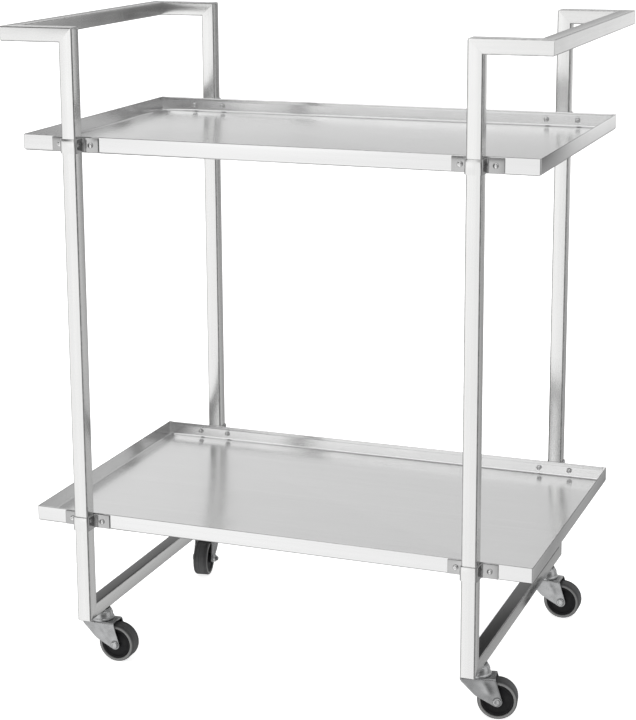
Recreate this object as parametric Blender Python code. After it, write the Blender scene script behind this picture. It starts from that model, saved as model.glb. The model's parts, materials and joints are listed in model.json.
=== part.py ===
"""A two-tier serving trolley: two welded square-tube end frames that rise into push handles, two folded sheet
trays screwed to the posts with wrap-round clips, and four swivel casters.

Metres, +Z up, the long side along X and the front at -Y. The origin is on the floor, under the middle.
Run with: blender --background --python part.py
"""

import math

import bmesh
import bpy
from mathutils import Vector

# Gap between pieces that touch or are welded, and the radial clearance round pins.
FIT = 0.0003

# End frames: one square tube, seen from the middle of the trolley.
TUBE = 0.019
TUBE_WALL = 0.0015
TUBE_EDGE_RADIUS = 0.0020
POST_X = 0.260
POST_Y = 0.2165
FRAME_HEIGHT = 0.774
HANDLE_REACH = 0.091
HANDLE_CORNER_RADIUS = 0.0035

# Trays: the upper rim hangs a set drop below the handles, and the lower one stands over the bottom rails.
TRAY_OVERHANG = 0.074
HANDLE_TO_UPPER_RIM = 0.137
RAIL_TO_LOWER_RIM = 0.125
RIM_HEIGHT = 0.0205
TRAY_SHEET = 0.001
TRAY_BEND = 0.0034
HEM_HEIGHT = 0.005
HEM_SHEET = 0.0012
HEM_END_SLOT = 0.004

# Clips and their screws.
CLIP_HEIGHT = 0.018
CLIP_SHEET = 0.0015
CLIP_FLANGE = 0.0205
CLIP_BEND = 0.002
SCREW_SHANK = 0.002
SCREW_HEAD = 0.0038
SCREW_HEAD_HEIGHT = 0.0023
NUT_RADIUS = 0.0036
NUT_HEIGHT = 0.0042
DOME_FLAT = 0.55

# Casters. The caster's parts stack up from the floor to the underside of the end frames.
CASTER_INSET = 0.042
WHEEL_RADIUS = 0.025
TYRE_WIDTH = 0.021
TYRE_THICKNESS = 0.0045
TYRE_SHOULDER = 0.0028
HUB_WALL = 0.003
HUB_STEP = 0.001
HUB_DISH = 0.0016
WHEEL_TO_CROWN = 0.003
WHEEL_TO_LEG = 0.0015
FORK_SHEET = 0.002
FORK_BEND = 0.0026
FORK_HALF_LENGTH = 0.022
FORK_END_RADIUS = 0.0068
# Where a leg's back edge turns in, behind the axle and above it, in wheel radii.
FORK_ELBOW_BACK = 1.1
FORK_ELBOW_RISE = 0.28
# The round end of a leg, in degrees round the axle from its front edge down to its back edge.
FORK_END_TURN = (12, -124)
TRAIL = 0.024
AXLE_RADIUS = 0.0035
AXLE_HEAD = 0.0055
AXLE_HEAD_HEIGHT = 0.0024
AXLE_NUT_HEIGHT = 0.0045
AXLE_THREAD_END = 0.003
HEAD_HEIGHT = 0.0144
HEAD_LIP_RADIUS = 0.0165
HEAD_LIP_HEIGHT = 0.0036
HEAD_NECK_RADIUS = 0.0112
KINGPIN_RADIUS = 0.0045
RIVET_RADIUS = 0.0065
RIVET_HEIGHT = 0.0024
STEM_RADIUS = 0.004
STEM_LENGTH = 0.012
SWIVEL_AT_REST = {
    "front_left": math.radians(0),
    "front_right": math.radians(11),
    "back_left": math.radians(-81),
    "back_right": math.radians(0),
}

# Sides of the round pieces. A pin and its hole have the same number, so their flats line up.
WHEEL_SEGMENTS = 28
HEAD_SEGMENTS = 16
PIN_SEGMENTS = 10
SCREW_SEGMENTS = 8

# Places worked out from the sizes above.
AXLE_Z = WHEEL_RADIUS
CROWN_UNDERSIDE = AXLE_Z + WHEEL_RADIUS + WHEEL_TO_CROWN
CROWN_TOP = CROWN_UNDERSIDE + FORK_SHEET
FRAME_BASE = CROWN_TOP + FIT + HEAD_HEIGHT + FIT
HANDLE_TOP = FRAME_BASE + FRAME_HEIGHT
TRAY_HALF_LENGTH = POST_X + TRAY_OVERHANG
TRAY_HALF_WIDTH = POST_Y - TUBE / 2 - FIT
CLIP_HALF_OPENING = TUBE / 2 + FIT
SCREW_OFFSET = CLIP_HALF_OPENING + CLIP_SHEET + CLIP_FLANGE / 2
LEG_INNER_Y = TYRE_WIDTH / 2 + WHEEL_TO_LEG
LEG_OUTER_Y = LEG_INNER_Y + FORK_SHEET
HUB_RADIUS = WHEEL_RADIUS - TYRE_THICKNESS
TRAY_RIM_TOPS = {
    "upper": HANDLE_TOP - HANDLE_TO_UPPER_RIM,
    "lower": FRAME_BASE + TUBE + RAIL_TO_LOWER_RIM,
}
SIDES = {"left": -1, "right": 1}
FACES = {"front": -1, "back": 1}

FINISHES = {
    "brushed_steel": ((0.62, 0.62, 0.61), 0.30, 1.0),
    "satin_sheet": ((0.66, 0.66, 0.65), 0.24, 1.0),
    "bright_screw": ((0.70, 0.70, 0.70), 0.18, 1.0),
    "zinc_plate": ((0.50, 0.51, 0.52), 0.34, 1.0),
    "black_hub": ((0.018, 0.018, 0.019), 0.45, 0.0),
    "grey_tyre": ((0.11, 0.11, 0.115), 0.60, 0.0),
}


def clear_scene():
    for thing in list(bpy.data.objects):
        bpy.data.objects.remove(thing, do_unlink=True)


def finish(name):
    """The named finish as a Principled material, made once."""
    found = bpy.data.materials.get(name)
    if found:
        return found
    colour, roughness, metallic = FINISHES[name]
    made = bpy.data.materials.new(name)
    made.use_nodes = True
    shader = made.node_tree.nodes["Principled BSDF"]
    shader.inputs["Base Color"].default_value = (*colour, 1.0)
    shader.inputs["Roughness"].default_value = roughness
    shader.inputs["Metallic"].default_value = metallic
    return made


def add_object(name, bm, finish_name=None, parent=None, smooth_angle=None):
    """Turns a bmesh into an object. Without a finish it is a cutter, which isn't rendered."""
    bmesh.ops.recalc_face_normals(bm, faces=bm.faces)
    mesh = bpy.data.meshes.new(name)
    bm.to_mesh(mesh)
    bm.free()
    if smooth_angle:
        mesh.shade_smooth()
        mesh.set_sharp_from_angle(angle=math.radians(smooth_angle))
    thing = bpy.data.objects.new(name, mesh)
    bpy.context.scene.collection.objects.link(thing)
    thing.parent = parent
    if finish_name:
        mesh.materials.append(finish(finish_name))
    else:
        thing.hide_render = True
        thing.display_type = "WIRE"
    return thing


def add_empty(name, place, turn=0.0, parent=None):
    made = bpy.data.objects.new(name, None)
    bpy.context.scene.collection.objects.link(made)
    made.location = place
    made.rotation_euler = (0.0, 0.0, turn)
    made.parent = parent
    return made


def cut(thing, cutter):
    """Subtracts the cutter from the object."""
    boolean = thing.modifiers.new(cutter.name, "BOOLEAN")
    boolean.operation = "DIFFERENCE"
    boolean.object = cutter


def unite(thing, other):
    boolean = thing.modifiers.new(other.name, "BOOLEAN")
    boolean.operation = "UNION"
    boolean.object = other


def arc(centre, radius, start, end, steps):
    """Points on a circle in a plane, from one angle in degrees to another."""
    angles = [math.radians(start + (end - start) * i / steps) for i in range(steps + 1)]
    return [(centre[0] + radius * math.cos(a), centre[1] + radius * math.sin(a)) for a in angles]


def bridge(bm, rings, closed=False):
    """Joins rings of equally many vertices with quads. A closed stack joins its last ring to its first."""
    pairs = list(zip(rings, rings[1:]))
    if closed:
        pairs.append((rings[-1], rings[0]))
    for low, high in pairs:
        for i in range(len(low)):
            j = (i + 1) % len(low)
            bm.faces.new((low[i], low[j], high[j], high[i]))


def add_prism(bm, outline, start, end):
    """Extrudes a closed outline, from the point that each (a, b) has at start to the one that it has at end."""
    low = [bm.verts.new(start(a, b)) for a, b in outline]
    high = [bm.verts.new(end(a, b)) for a, b in outline]
    bridge(bm, [low, high])
    bm.faces.new(low)
    bm.faces.new(high)


def add_box(bm, low, high):
    outline = [(low[0], low[1]), (high[0], low[1]), (high[0], high[1]), (low[0], high[1])]
    add_prism(bm, outline, lambda x, y: (x, y, low[2]), lambda x, y: (x, y, high[2]))


def add_turned(bm, profile, axis, segments, closed=False, centre=(0.0, 0.0, 0.0)):
    """Turns a profile of (radius, height) points about an axis through the centre.
    An open profile starts and ends on the axis, and a closed one goes round a bore."""
    origin = Vector(centre)
    along = Vector(axis)
    across = along.orthogonal().normalized()
    other = along.cross(across)
    rings = []
    for radius, height in profile:
        ring = []
        for i in range(segments):
            angle = 2 * math.pi * (i + 0.5) / segments
            spoke = across * math.cos(angle) + other * math.sin(angle)
            ring.append(bm.verts.new(origin + along * height + spoke * radius))
        rings.append(ring)
    bridge(bm, rings, closed)
    if not closed:
        bm.faces.new(rings[0])
        bm.faces.new(rings[-1])


def rounded_square(size, radius, steps):
    """The outline of a square, centred, with rounded corners."""
    inner = size / 2 - radius
    outline = []
    for corner, (sx, sy) in enumerate([(1, 1), (-1, 1), (-1, -1), (1, -1)]):
        outline += arc((sx * inner, sy * inner), radius, 90 * corner, 90 * corner + 90, steps)
    return outline


# End frames


def frame_corners(side):
    """The six corners of an end frame's centre line, in order round its loop."""
    x = side * POST_X
    bar_x = side * (POST_X + HANDLE_REACH - TUBE / 2)
    low = FRAME_BASE + TUBE / 2
    high = HANDLE_TOP - TUBE / 2
    return [
        Vector((x, -POST_Y, low)),
        Vector((x, POST_Y, low)),
        Vector((x, POST_Y, high)),
        Vector((bar_x, POST_Y, high)),
        Vector((bar_x, -POST_Y, high)),
        Vector((x, -POST_Y, high)),
    ]


def mitred_tube(name, start, end, before, after):
    """A hollow square tube between two corners of the centre line. Each end is mitred to the next tube,
    which leaves that corner along `before` or `after`, and the ends are open."""
    along = (end - start).normalized()
    across = Vector((0, 1, 0)) if abs(along.y) < 0.5 else Vector((1, 0, 0))
    other = along.cross(across)
    length = (end - start).length
    outer = rounded_square(TUBE, TUBE_EDGE_RADIUS, 2)
    inner = rounded_square(TUBE - 2 * TUBE_WALL, TUBE_EDGE_RADIUS - TUBE_WALL, 2)
    bm = bmesh.new()

    def ring(outline, at_start):
        made = []
        for a, b in outline:
            spoke = across * a + other * b
            reach = spoke.dot(before) + FIT / 2 if at_start else length - spoke.dot(after) - FIT / 2
            made.append(bm.verts.new(start + spoke + along * reach))
        return made

    rings = [ring(outer, True), ring(outer, False), ring(inner, False), ring(inner, True)]
    bridge(bm, rings, closed=True)
    return add_object(name, bm, "brushed_steel", smooth_angle=40)


def add_handle_corner_cutter(name, side, face):
    """What grinding takes off the sharp outer corner where a post turns into its handle arm."""
    reach = 0.002
    edge_x = side * (POST_X - TUBE / 2)
    centre_x = edge_x + side * HANDLE_CORNER_RADIUS
    centre_z = HANDLE_TOP - HANDLE_CORNER_RADIUS
    start, end = (180, 90) if side > 0 else (0, 90)
    outline = arc((centre_x, centre_z), HANDLE_CORNER_RADIUS, start, end, 4)
    outline += [(centre_x, HANDLE_TOP + reach), (edge_x - side * reach, HANDLE_TOP + reach)]
    outline += [(edge_x - side * reach, centre_z)]
    low = face * POST_Y - TUBE
    high = face * POST_Y + TUBE
    bm = bmesh.new()
    add_prism(bm, outline, lambda x, z: (x, low, z), lambda x, z: (x, high, z))
    return add_object(name, bm)


def add_end_frame(side_name, side):
    names = ["bottom_rail", "back_post", "handle_back_arm", "handle_bar", "handle_front_arm", "front_post"]
    corners = frame_corners(side)
    tubes = {}
    for i, name in enumerate(names):
        start = corners[i]
        end = corners[(i + 1) % 6]
        before = (corners[i - 1] - start).normalized()
        after = (corners[(i + 2) % 6] - end).normalized()
        tubes[name] = mitred_tube(f"{side_name}_{name}", start, end, before, after)
    for face_name, face in FACES.items():
        cutter = add_handle_corner_cutter(f"{side_name}_{face_name}_corner_cutter", side, face)
        cut(tubes[f"{face_name}_post"], cutter)
        cut(tubes[f"handle_{face_name}_arm"], cutter)
    bm = bmesh.new()
    for face in FACES.values():
        profile = [(STEM_RADIUS + FIT, -TUBE_WALL), (STEM_RADIUS + FIT, 2 * TUBE_WALL)]
        add_turned(bm, profile, (0, 0, 1), PIN_SEGMENTS, centre=(side * POST_X, face * caster_y(), FRAME_BASE))
    cut(tubes["bottom_rail"], add_object(f"{side_name}_stem_holes", bm))


# Trays


def tray_profile(rim_top):
    """(inset, height) points from the middle of the tray's underside, over the rim, to the middle of its deck."""
    base = rim_top - RIM_HEIGHT
    outer = arc((TRAY_BEND, base + TRAY_BEND), TRAY_BEND, 270, 180, 3)
    inner = arc((TRAY_BEND, base + TRAY_BEND), TRAY_BEND - TRAY_SHEET, 180, 270, 3)
    return outer + [(0.0, rim_top), (TRAY_SHEET, rim_top)] + inner


def add_hem(bm, rim_top, face):
    """The long rim's top edge, folded in and down flat against it. Its middle third is sunk in the rim."""
    half_length = TRAY_HALF_LENGTH - TRAY_SHEET - HEM_END_SLOT
    y_out = TRAY_HALF_WIDTH - TRAY_SHEET / 2
    y_in = TRAY_HALF_WIDTH - TRAY_SHEET - HEM_SHEET
    low = rim_top - HEM_HEIGHT
    curl = HEM_SHEET / 2
    outline = [(y_out, low), (y_out, rim_top)]
    outline += arc((y_in + curl, rim_top - curl), curl, 90, 180, 2)
    outline += arc((y_in + curl, low + curl), curl, 180, 270, 2)
    points = [(face * y, z) for y, z in outline]
    add_prism(bm, points, lambda y, z: (-half_length, y, z), lambda y, z: (half_length, y, z))


def screw_places():
    """(x, side of the trolley that it faces) of a tier's eight screws."""
    return [
        (side * POST_X + offset, face)
        for side in SIDES.values()
        for offset in (-SCREW_OFFSET, SCREW_OFFSET)
        for face in FACES.values()
    ]


def screw_z(tier):
    return TRAY_RIM_TOPS[tier] - RIM_HEIGHT / 2


def add_screw_hole_cutter(tier):
    """The holes for the tier's screws, through the clip flanges and the tray's rims."""
    bm = bmesh.new()
    reach = 3 * CLIP_SHEET
    for x, face in screw_places():
        place = (x, face * TRAY_HALF_WIDTH, screw_z(tier))
        profile = [(SCREW_SHANK + FIT, -reach), (SCREW_SHANK + FIT, reach)]
        add_turned(bm, profile, (0, 1, 0), SCREW_SEGMENTS, centre=place)
    return add_object(f"{tier}_screw_holes", bm)


def add_tray(tier, holes):
    rim_top = TRAY_RIM_TOPS[tier]
    bm = bmesh.new()
    rings = []
    for inset, height in tray_profile(rim_top):
        x = TRAY_HALF_LENGTH - inset
        y = TRAY_HALF_WIDTH - inset
        rings.append([bm.verts.new(p) for p in ((-x, -y, height), (x, -y, height), (x, y, height), (-x, y, height))])
    bridge(bm, rings)
    bm.faces.new(rings[0])
    bm.faces.new(rings[-1])
    tray = add_object(f"{tier}_tray", bm, "satin_sheet", smooth_angle=30)
    for face_name, face in FACES.items():
        hem_mesh = bmesh.new()
        add_hem(hem_mesh, rim_top, face)
        unite(tray, add_object(f"{tier}_{face_name}_hem", hem_mesh))
    cut(tray, holes)


# Clips and screws


def clip_outline():
    """Half of the clip's plan from the middle of its web to its flange's end, as (across, outwards) points.
    Outwards is measured from the rim's outer face. The second half mirrors it."""
    seat = FIT
    web = TUBE + 2 * FIT
    outer_bend = CLIP_BEND + CLIP_SHEET
    cheek = CLIP_HALF_OPENING
    flange_end = cheek + CLIP_SHEET + CLIP_FLANGE
    inside = [(cheek, web)]
    inside += [(cheek, seat)]
    inside += [(flange_end, seat)]
    outside = [(flange_end, seat + CLIP_SHEET)]
    outside += arc((cheek + CLIP_SHEET + CLIP_BEND, seat + CLIP_SHEET + CLIP_BEND), CLIP_BEND, 270, 180, 2)
    outside += arc((cheek + CLIP_SHEET - outer_bend, web + CLIP_SHEET - outer_bend), outer_bend, 0, 90, 2)
    return inside + outside


def add_clip(tier, side_name, side, face_name, face, holes):
    half = clip_outline()
    mirrored = [(-across, out) for across, out in reversed(half)]
    outline = half + mirrored
    low = screw_z(tier) - CLIP_HEIGHT / 2
    high = screw_z(tier) + CLIP_HEIGHT / 2

    def place(z):
        return lambda across, out: (side * POST_X + across, face * (TRAY_HALF_WIDTH + out), z)

    bm = bmesh.new()
    add_prism(bm, outline, place(low), place(high))
    clip = add_object(f"{tier}_{side_name}_{face_name}_clip", bm, "brushed_steel", smooth_angle=35)
    cut(clip, holes)


def screw_profile():
    """The screw with its cap nut, from the tip of the nut to the crown of the head. Zero is the rim's outer face."""
    head_seat = FIT + CLIP_SHEET + FIT
    nut_seat = -TRAY_SHEET - FIT
    return [
        (NUT_RADIUS * DOME_FLAT, nut_seat - NUT_HEIGHT),
        (NUT_RADIUS, nut_seat - NUT_HEIGHT / 2),
        (NUT_RADIUS, nut_seat),
        (SCREW_SHANK, nut_seat),
        (SCREW_SHANK, head_seat),
        (SCREW_HEAD, head_seat),
        (SCREW_HEAD, head_seat + SCREW_HEAD_HEIGHT / 3),
        (SCREW_HEAD * DOME_FLAT, head_seat + SCREW_HEAD_HEIGHT),
    ]


def add_screws(tier):
    for side_name, side in SIDES.items():
        for face_name, face in FACES.items():
            for end_name, offset in (("outer", side * SCREW_OFFSET), ("inner", -side * SCREW_OFFSET)):
                place = (side * POST_X + offset, face * TRAY_HALF_WIDTH, screw_z(tier))
                bm = bmesh.new()
                add_turned(bm, screw_profile(), (0, face, 0), SCREW_SEGMENTS)
                name = f"{tier}_{side_name}_{face_name}_{end_name}_screw"
                screw = add_object(name, bm, "bright_screw", smooth_angle=50)
                screw.location = place


# Casters


def caster_y():
    """How far the swivel axes are from the middle, across the trolley."""
    return POST_Y - CASTER_INSET


def head_profile():
    """The fixed half of the swivel, from the riveted end of its kingpin to the tip of its stem."""
    rivet_top = CROWN_UNDERSIDE - FIT
    seat = CROWN_TOP + FIT
    top = FRAME_BASE - FIT
    return [
        (KINGPIN_RADIUS, rivet_top - RIVET_HEIGHT),
        (RIVET_RADIUS, rivet_top - RIVET_HEIGHT / 2),
        (RIVET_RADIUS, rivet_top),
        (KINGPIN_RADIUS, rivet_top),
        (KINGPIN_RADIUS, seat),
        (HEAD_LIP_RADIUS, seat),
        (HEAD_LIP_RADIUS, seat + HEAD_LIP_HEIGHT),
        (HEAD_NECK_RADIUS, top),
        (STEM_RADIUS, top),
        (STEM_RADIUS, top + STEM_LENGTH),
    ]


def fork_outline():
    """The fork seen from its side: a wide crown, and legs that narrow to a round end at the axle."""
    right = (FORK_HALF_LENGTH, CROWN_TOP)
    left = (-FORK_HALF_LENGTH, CROWN_TOP)
    elbow = (TRAIL - FORK_ELBOW_BACK * WHEEL_RADIUS, AXLE_Z + FORK_ELBOW_RISE * WHEEL_RADIUS)
    end = arc((TRAIL, AXLE_Z), FORK_END_RADIUS, *FORK_END_TURN, 5)
    return [right, *end, elbow, (left[0], left[1] - 2 * FORK_SHEET), left]


def add_fork(name, parent):
    """A pressed fork: a bent crown with two legs, bored for the kingpin and the axle."""
    bm = bmesh.new()
    add_prism(bm, fork_outline(), lambda x, z: (x, -LEG_OUTER_Y, z), lambda x, z: (x, LEG_OUTER_Y, z))
    crown_edges = [
        edge
        for edge in bm.edges
        if all(abs(v.co.z - CROWN_TOP) < FIT for v in edge.verts)
        and abs(edge.verts[0].co.y - edge.verts[1].co.y) < FIT
    ]
    bmesh.ops.bevel(bm, geom=crown_edges, offset=FORK_BEND, segments=2, affect="EDGES", profile=0.5)
    fork = add_object(name, bm, "zinc_plate", parent, smooth_angle=40)

    cutter = bmesh.new()
    reach = TRAIL + WHEEL_RADIUS
    add_box(cutter, (-reach, -LEG_INNER_Y, 0.0), (reach, LEG_INNER_Y, CROWN_UNDERSIDE))
    slot = add_object(f"{name}_slot", cutter, parent=parent)
    cutter = bmesh.new()
    axle_hole = [(AXLE_RADIUS + FIT, -2 * LEG_OUTER_Y), (AXLE_RADIUS + FIT, 2 * LEG_OUTER_Y)]
    add_turned(cutter, axle_hole, (0, 1, 0), PIN_SEGMENTS, centre=(TRAIL, 0, AXLE_Z))
    pin_hole = [(KINGPIN_RADIUS + FIT, CROWN_UNDERSIDE - FORK_SHEET), (KINGPIN_RADIUS + FIT, CROWN_TOP + FORK_SHEET)]
    add_turned(cutter, pin_hole, (0, 0, 1), PIN_SEGMENTS)
    holes = add_object(f"{name}_holes", cutter, parent=parent)
    cut(fork, slot)
    cut(fork, holes)


def axle_profile():
    """A low domed head outside one leg, the shank through both, and a nut with the thread's end past the other."""
    seat = LEG_OUTER_Y + FIT
    return [
        (AXLE_HEAD * DOME_FLAT, -seat - AXLE_HEAD_HEIGHT),
        (AXLE_HEAD, -seat - AXLE_HEAD_HEIGHT / 3),
        (AXLE_HEAD, -seat),
        (AXLE_RADIUS, -seat),
        (AXLE_RADIUS, seat),
        (AXLE_HEAD, seat),
        (AXLE_HEAD, seat + AXLE_NUT_HEIGHT),
        (AXLE_RADIUS, seat + AXLE_NUT_HEIGHT),
        (AXLE_RADIUS, seat + AXLE_NUT_HEIGHT + AXLE_THREAD_END),
    ]


def hub_profile():
    """A moulded hub: a boss round the bore, a dished web and the rim that carries the tyre."""
    boss = TYRE_WIDTH / 2 + WHEEL_TO_LEG / 2
    rim = TYRE_WIDTH / 2 - HUB_STEP
    web = rim - HUB_DISH
    bore = AXLE_RADIUS + FIT
    outer = HUB_RADIUS - FIT
    half = [
        (bore, boss),
        (bore + HUB_WALL, boss),
        (bore + HUB_WALL, web),
        (outer - HUB_WALL, web),
        (outer - HUB_WALL, rim),
        (outer, rim),
    ]
    return half + [(radius, -height) for radius, height in reversed(half)]


def tyre_profile():
    """A solid tyre with a flat tread and rounded shoulders."""
    half_width = TYRE_WIDTH / 2
    turn_centre = (WHEEL_RADIUS - TYRE_SHOULDER, half_width - TYRE_SHOULDER)
    half = [(HUB_RADIUS, half_width)] + arc(turn_centre, TYRE_SHOULDER, 90, 0, 2)
    return half + [(radius, -height) for radius, height in reversed(half)]


def add_caster(place_name, side, face):
    place = (side * POST_X, face * caster_y(), 0.0)
    swivel = add_empty(f"{place_name}_swivel_axis", place, SWIVEL_AT_REST[place_name])
    wheel = add_empty(f"{place_name}_wheel_axis", (TRAIL, 0.0, AXLE_Z), parent=swivel)

    bm = bmesh.new()
    add_turned(bm, head_profile(), (0, 0, 1), HEAD_SEGMENTS)
    add_object(f"{place_name}_caster_head", bm, "zinc_plate", smooth_angle=40).location = place

    add_fork(f"{place_name}_caster_fork", swivel)

    bm = bmesh.new()
    add_turned(bm, axle_profile(), (0, 1, 0), PIN_SEGMENTS)
    add_object(f"{place_name}_caster_axle", bm, "zinc_plate", wheel, smooth_angle=40)

    bm = bmesh.new()
    add_turned(bm, hub_profile(), (0, 1, 0), WHEEL_SEGMENTS, closed=True)
    add_object(f"{place_name}_wheel_hub", bm, "black_hub", wheel, smooth_angle=40)

    bm = bmesh.new()
    add_turned(bm, tyre_profile(), (0, 1, 0), WHEEL_SEGMENTS, closed=True)
    add_object(f"{place_name}_wheel_tyre", bm, "grey_tyre", wheel, smooth_angle=40)


def main():
    clear_scene()
    for side_name, side in SIDES.items():
        add_end_frame(side_name, side)
    for tier in TRAY_RIM_TOPS:
        holes = add_screw_hole_cutter(tier)
        add_tray(tier, holes)
        for side_name, side in SIDES.items():
            for face_name, face in FACES.items():
                add_clip(tier, side_name, side, face_name, face, holes)
        add_screws(tier)
    for face_name, face in FACES.items():
        for side_name, side in SIDES.items():
            add_caster(f"{face_name}_{side_name}", side, face)


main()
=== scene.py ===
"""The looks of the two-tier serving trolley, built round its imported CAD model.

Metres, +Z up, the long side along X and the front at -Y. Places and main sizes come from the CAD boxes and
joints. The sizes named below are the finishing details that the CAD model leaves out.
"""

import json
import math

import bmesh
import bpy
from mathutils import Matrix, Vector


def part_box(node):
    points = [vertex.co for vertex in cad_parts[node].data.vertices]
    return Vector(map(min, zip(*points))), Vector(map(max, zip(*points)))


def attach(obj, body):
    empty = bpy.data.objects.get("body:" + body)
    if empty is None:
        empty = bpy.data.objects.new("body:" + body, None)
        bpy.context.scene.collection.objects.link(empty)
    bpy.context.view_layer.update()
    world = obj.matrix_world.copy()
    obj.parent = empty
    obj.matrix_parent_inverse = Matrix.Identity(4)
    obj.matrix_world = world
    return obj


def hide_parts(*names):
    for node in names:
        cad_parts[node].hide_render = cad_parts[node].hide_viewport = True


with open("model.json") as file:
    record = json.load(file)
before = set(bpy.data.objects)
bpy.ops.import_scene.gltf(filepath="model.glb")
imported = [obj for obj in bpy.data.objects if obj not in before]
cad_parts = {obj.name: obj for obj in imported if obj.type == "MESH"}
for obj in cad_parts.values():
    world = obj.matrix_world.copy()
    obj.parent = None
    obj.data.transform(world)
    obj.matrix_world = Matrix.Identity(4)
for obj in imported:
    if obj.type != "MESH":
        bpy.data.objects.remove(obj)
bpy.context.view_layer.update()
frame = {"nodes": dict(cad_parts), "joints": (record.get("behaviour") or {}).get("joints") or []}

# Where the camera stands, how many degrees it is turned, its lens in millimetres, and its shift as a share
# of the frame.
CAMERA_PLACE = (0.8462, -2.2970, 1.0364)
CAMERA_YAW = 21.424
CAMERA_PITCH = -12.368
CAMERA_ROLL = -0.489
CAMERA_LENS = 94.80
CAMERA_SHIFT = (0.0389, -0.1111)

# The studio's brightness round the trolley, in a low, a level and a high band, as (degrees, brightness)
# stops. The degrees run from the back (+Y) towards +X.
STUDIO_LOW = (
    (-180, 0.98), (-164, 1.04), (-152, 1.10), (-124, 0.90), (-106, 0.60), (-84, 0.60), (-66, 0.25),
    (-40, 0.10), (-15, 0.10), (0, 0.26), (8, 0.38), (12, 0.40), (16, 0.30), (20, 0.36), (24, 0.50),
    (30, 0.62), (42, 0.50), (60, 0.30), (76, 0.58), (100, 0.55), (116, 0.28), (150, 0.22), (170, 0.60),
    (180, 0.98),
)
STUDIO_LEVEL = (
    (-180, 0.98), (-167, 1.00), (-161, 1.20), (-156, 1.20), (-149, 1.02), (-128, 0.90), (-116, 0.30),
    (-104, 0.86), (-84, 0.80), (-68, 0.24), (-50, 0.22), (-30, 0.28), (-15, 0.24), (3, 0.94), (10, 0.94),
    (14, 0.82), (18, 0.34), (21, 0.06), (26, 0.08), (29, 0.34), (33, 0.84), (45, 0.60), (60, 0.30),
    (74, 0.84), (98, 0.80), (114, 0.24), (135, 0.14), (162, 0.16), (180, 0.98),
)
STUDIO_HIGH = (
    (-180, 0.30), (-170, 0.38), (-166, 1.24), (-158, 1.24), (-155, 0.05), (-116, 0.08), (-102, 0.80),
    (-84, 0.78), (-66, 0.36), (-40, 0.84), (-28, 0.82), (-20, 0.72), (-10, 0.66), (5, 0.60), (20, 0.44),
    (28, 0.66), (45, 0.58), (62, 0.46), (76, 0.80), (98, 0.76), (114, 0.30), (150, 0.38), (180, 0.30),
)
STUDIO_OVERHEAD = 0.90
# Elevations, in degrees, between which one band of the studio turns into the next.
LOW_TO_LEVEL = (-15, -5)
LEVEL_TO_HIGH = (4, 9)
HIGH_TO_OVERHEAD = (28, 60)

# The clearance between parts that touch, as in the CAD model.
GAP = 0.0003
ARC_STEPS = 6

# End frames: the tubes' rounded edges, the ground outer corners of the handles, and the dressed welds.
TUBE_EDGE = 0.002
CORNER_GRIND = 0.0035
CUTTER_REACH = 0.002
SEAM_HALF_WIDTH = 0.0003
SEAM_PROUD = 0.00002

# Trays: the sheet, its bend into the rims, the rims' corners, and the hems along the long rims.
SHEET = 0.001
SHEET_EASE = 0.00025
TRAY_BEND = 0.0034
TRAY_CORNER = 0.0016
TRAY_CORNER_LEAST = 0.0007
HEM_SHEET = 0.0012
HEM_HEIGHT = 0.005
HEM_SETBACK = 0.004

# Clips: the strap and the bends round the post.
CLIP_SHEET = 0.0015
CLIP_BEND = 0.002

# Screws with cap nuts. The recess is a cross with a narrower floor, and each screw is turned differently.
SCREW_SEGMENTS = 36
SCREW_HEAD_HEIGHT = 0.0023
SCREW_SHANK = 0.002
SCREW_TURN = 37
NUT_RADIUS = 0.0036
NUT_HEIGHT = 0.0042
NUT_FLANGE = 0.45 * NUT_HEIGHT
RECESS_HALF_WIDTH = 0.0003
RECESS_REACH = 0.38
RECESS_DEPTH = 0.45
RECESS_FLOOR = 0.55

# Forks: the pressed sheet, its bend and eased edges, and the shallow crease down each leg.
FORK_SHEET = 0.002
FORK_BEND = 0.0022
FORK_EASE = 0.0004
FORK_COLUMNS = 16
FORK_LEG_ROWS = 12
FORK_ELBOW_BACK = 1.1
FORK_ELBOW_RISE = 0.28
CREASE_HEIGHT = 0.0011
CREASE_PLACE = 0.62
CREASE_SPREAD = 0.11
CREASE_FADE_LOW = 0.008
CREASE_FADE_HIGH = 0.004
CREASE_TOP_MARGIN = 0.003

# Swivel heads: the riveted pin, the raceway cup's lip, its domed top, and the neck and stem above it.
PIN_RADIUS = 0.0045
PIN_HOLE_SEGMENTS = 48
RIVET_RADIUS = 0.0065
NECK_RADIUS = 0.0112
STEM_RADIUS = 0.004
STEM_CHAMFER = 0.0006
LIP_HEIGHT = 0.0036
DOME_INSET = 0.0016
DOME_STEPS = 8
HEAD_SEGMENTS = 56

# Wheels: the tyre's rounded shoulders and the groove beside each, the hub's sunken web, and the bolt.
TYRE_SEGMENTS = 112
TYRE_SHOULDER = 0.0028
TYRE_GROOVE = 0.0005
HUB_SEGMENTS = 96
HUB_BORE = 0.0038
HUB_RIM_STEP = 0.001
HUB_WEB_STEP = 0.0012
BOLT_SEGMENTS = 36
BOLT_SHANK = 0.0035
BOLT_NUT_HEIGHT = 0.003
BOLT_THREADS = 5

# Materials: noise cells a metre, either alike in every direction or across and along the grain.
FINE_GRAIN = (1500, 14)
STREAKS = (260, 1.5)
HAZE = 16
EDGE_BREAKUP_CELLS = 140
PLATE_SPOTS = 700
PLATE_STAINS = 90
PLASTIC_GRIT = 1400
PLASTIC_DUST = 120
ROLLING_LINES = 900
RUBBER_SCUFFS = 110
# The paler ring on each side of a tyre: where it starts and is full, in from the side and in from the tread.
RING_SIDE = (0.0018, 0.0006)
RING_TREAD = (0.0008, 0.0022)
# A quarter turn spreads the gloss across the grain.
GLOSS_TURN = 0.25

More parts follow.
